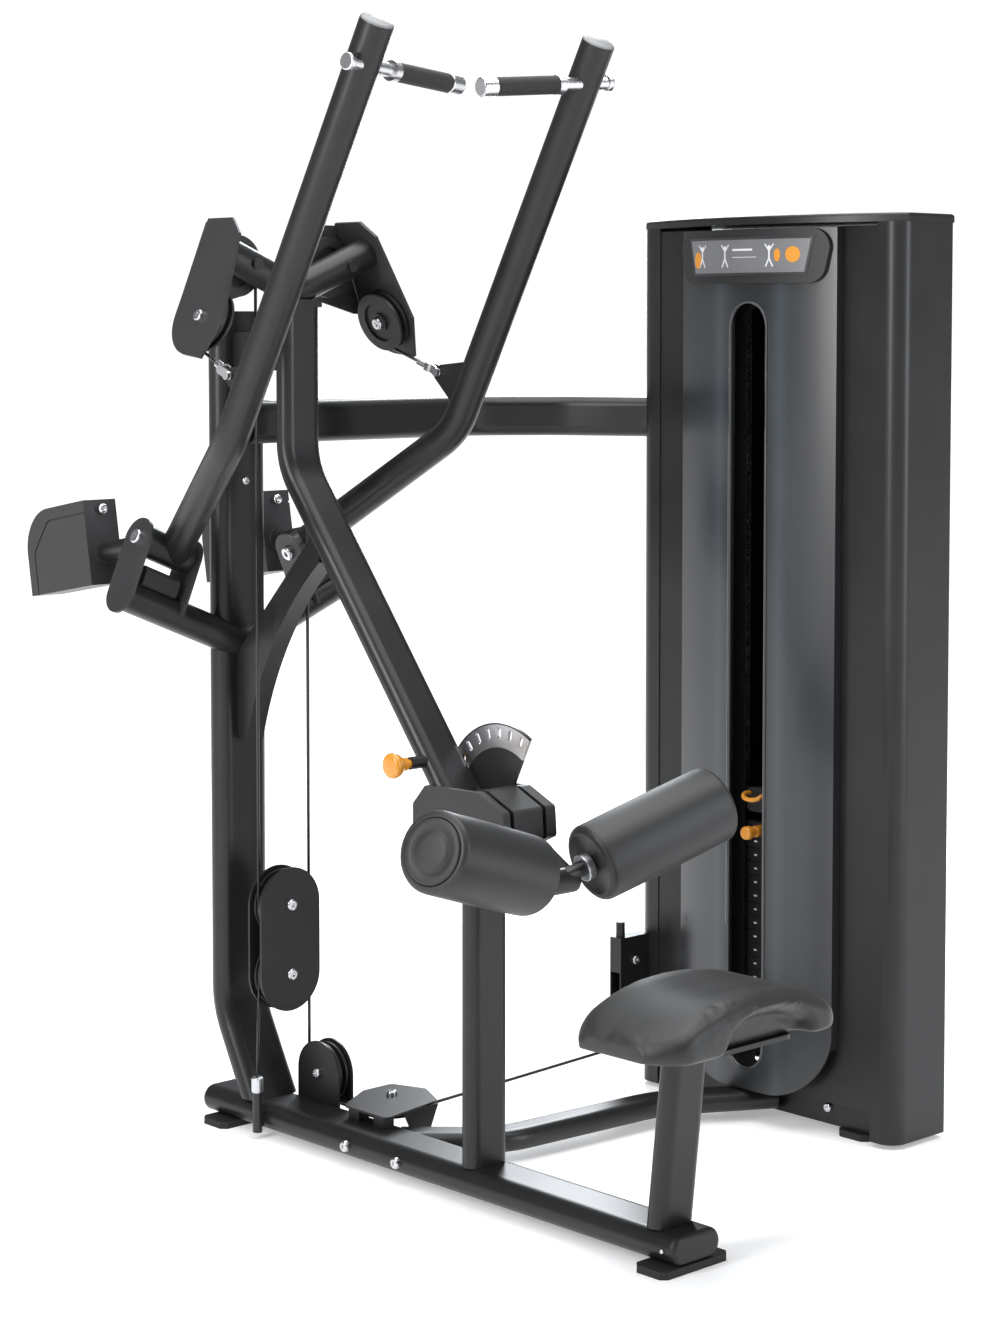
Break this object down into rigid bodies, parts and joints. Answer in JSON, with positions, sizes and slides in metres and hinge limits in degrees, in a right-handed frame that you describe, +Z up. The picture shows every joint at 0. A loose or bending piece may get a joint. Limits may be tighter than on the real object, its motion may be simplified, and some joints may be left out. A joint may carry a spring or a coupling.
{
  "type": "lat pulldown machine",
  "caption": "Lat pulldown machine: press-down arms on a V yoke, saddle seat and thigh rollers on a floor rail, cable-linked to a shielded weight tower.",
  "frame": {"origin": "centre of the front foot's sole, under the seat end of the floor rail", "axes": "+X from the rail towards the weight tower, +Y along the rail from the seat to the rear column, +Z up"},
  "size_m": [1.2387, 1.6842, 2.0335],
  "materials": {
    "frame_paint": "fine satin powder coat",
    "weight_paint": "satin black",
    "black_plastic": "matte",
    "rubber": "matte",
    "silver": "satin",
    "vinyl": "grained vinyl",
    "cable_jacket": "smooth",
    "smoked_shield": "semi-gloss smoked",
    "orange": "gloss"
  },
  "bodies": {
    "frame": {"arm_cables": "cable_jacket", "axles": "silver", "base_rail": "frame_paint", "block_runs_lower": "cable_jacket", "block_runs_upper": "cable_jacket", "cable_anchor": "silver", "clevis_runs": "cable_jacket", "floor_cross_tube": "frame_paint", "floor_feet": "rubber", "frame_bolts": "silver", "frame_ties": "frame_paint", "front_frame_member": "frame_paint", "guide_rods": "silver", "guide_sheaves": "black_plastic", "lower_yoke": "frame_paint", "pivot_plates": "frame_paint", "placard": "black_plastic", "pulley_brackets": "frame_paint", "rail_end_caps": "black_plastic", "rear_column": "frame_paint", "rubber_stops": "rubber", "seat_cushion": "vinyl", "seat_post": "frame_paint", "stack_run": "cable_jacket", "top_cap": "frame_paint", "tower_panels": "frame_paint", "tower_shield": "smoked_shield", "tower_uprights": "frame_paint", "transfer_cable": "cable_jacket", "upper_beam": "frame_paint", "upper_pulley_plates": "frame_paint", "upper_yoke": "frame_paint", "weight_plates": "weight_paint"},
    "left_arm": {"arm_tube_left": "frame_paint", "handle_bar_left": "silver", "handle_grip_left": "rubber", "counterweight_left": "weight_paint"},
    "right_arm": {"arm_tube_right": "frame_paint", "handle_bar_right": "silver", "handle_grip_right": "rubber", "counterweight_right": "weight_paint"},
    "left_clevis": {"cable_clevis_left": "silver"},
    "right_clevis": {"cable_clevis_right": "silver"},
    "floating_block": {"block_plates": "weight_paint", "block_bolts": "silver", "block_cable_wraps": "cable_jacket"},
    "block_upper_wheel": {"block_pulley_upper": "black_plastic"},
    "block_lower_wheel": {"block_pulley_lower": "black_plastic"},
    "left_outer_wheel": {"outer_pulley_left": "black_plastic"},
    "right_outer_wheel": {"outer_pulley_right": "black_plastic"},
    "base_wheel": {"base_pulley": "black_plastic"},
    "thigh_holder": {"thigh_carrier": "frame_paint", "holder_trim": "silver", "thigh_cover": "black_plastic"},
    "left_roller": {"thigh_roller_left": "vinyl"},
    "right_roller": {"thigh_roller_right": "vinyl"},
    "height_knob": {"adjuster_knob": "orange"},
    "stack_head": {"head_plate": "weight_paint"},
    "stack_pin": {"selector_pin": "orange"},
    "add_on_lever": {"add_on_weight": "weight_paint"}
  },
  "joints": [
    {"name": "right_arm_pivot", "type": "hinge", "parent": "frame", "child": "right_arm", "pos_m": [0, 1.155, 1.036], "axis": [0.9239, 0, 0.3827], "range_deg": [0, 55]},
    {"name": "left_arm_pivot", "type": "hinge", "parent": "frame", "child": "left_arm", "pos_m": [0, 1.155, 1.036], "axis": [0.9239, 0, -0.3827], "range_deg": [0, 56]},
    {"name": "right_clevis_pivot", "type": "hinge", "parent": "right_arm", "child": "right_clevis", "pos_m": [0.246, 0.858, 1.436], "axis": [1, 0, 0], "range_deg": [-19, 0]},
    {"name": "left_clevis_pivot", "type": "hinge", "parent": "left_arm", "child": "left_clevis", "pos_m": [-0.246, 0.858, 1.436], "axis": [1, 0, 0], "range_deg": [-19, 0]},
    {"name": "block_slide", "type": "slide", "parent": "frame", "child": "floating_block", "axis": [0, 0, 1], "range_m": [0, 0.335], "deforming": ["block_runs_upper", "block_runs_lower"]},
    {"name": "stack_lift", "type": "slide", "parent": "frame", "child": "stack_head", "axis": [0, 0, 1], "range_m": [0, 0.668], "deforming": ["stack_run"]},
    {"name": "right_outer_spin", "type": "hinge", "parent": "frame", "child": "right_outer_wheel", "pos_m": [0.20554, 0.977, 1.532], "axis": [0.9239, 0, 0.3827], "range_deg": [0, 380.5]},
    {"name": "left_outer_spin", "type": "hinge", "parent": "frame", "child": "left_outer_wheel", "pos_m": [-0.20554, 0.977, 1.532], "axis": [0.9239, 0, -0.3827], "range_deg": [0, 380.5]},
    {"name": "block_lower_spin", "type": "hinge", "parent": "floating_block", "child": "block_lower_wheel", "pos_m": [0, 1.027, 0.306], "axis": [0, 1, 0], "range_deg": [0, 317.25]},
    {"name": "base_spin", "type": "hinge", "parent": "frame", "child": "base_wheel", "pos_m": [0.06, 0.979, 0.115], "axis": [1, 0, 0], "range_deg": [-791.62, 0]},
    {"name": "block_upper_spin", "type": "hinge", "parent": "floating_block", "child": "block_upper_wheel", "pos_m": [0, 1.027, 0.438], "axis": [0, 1, 0], "continuous": true},
    {"name": "thigh_height", "type": "hinge", "parent": "frame", "child": "thigh_holder", "pos_m": [0, 0.4835, 0.69], "axis": [-1, 0, 0], "range_deg": [0, 78]},
    {"name": "right_roller_spin", "type": "hinge", "parent": "thigh_holder", "child": "right_roller", "pos_m": [0.072, 0.285, 0.607], "axis": [0.938, -0.1804, 0.2958], "continuous": true},
    {"name": "left_roller_spin", "type": "hinge", "parent": "thigh_holder", "child": "left_roller", "pos_m": [-0.072, 0.285, 0.607], "axis": [-0.938, -0.1804, 0.2958], "continuous": true},
    {"name": "knob_pull", "type": "slide", "parent": "frame", "child": "height_knob", "axis": [-1, 0, 0], "range_m": [0, 0.012], "stiffness_N_per_m": 400},
    {"name": "pin_pull", "type": "slide", "parent": "stack_head", "child": "stack_pin", "axis": [-1, 0, 0], "range_m": [0, 0.055]},
    {"name": "lever_tilt", "type": "hinge", "parent": "stack_head", "child": "add_on_lever", "pos_m": [0.77, 0.483, 0.619], "axis": [1, 0, 0], "range_deg": [0, 16]}
  ],
  "couplings": [
    {"joint": "left_arm_pivot", "follows": "right_arm_pivot", "ratio": 1},
    {"joint": "right_clevis_pivot", "follows": "right_arm_pivot", "ratio": -0.32},
    {"joint": "left_clevis_pivot", "follows": "right_arm_pivot", "ratio": -0.32},
    {"joint": "block_slide", "follows": "right_arm_pivot", "m_per_rad": 0.345},
    {"joint": "stack_lift", "follows": "right_arm_pivot", "m_per_rad": 0.69},
    {"joint": "right_outer_spin", "follows": "right_arm_pivot", "ratio": 6.9},
    {"joint": "left_outer_spin", "follows": "right_arm_pivot", "ratio": 6.9},
    {"joint": "block_lower_spin", "follows": "right_arm_pivot", "ratio": 5.75},
    {"joint": "base_spin", "follows": "right_arm_pivot", "ratio": -14.375}
  ]
}
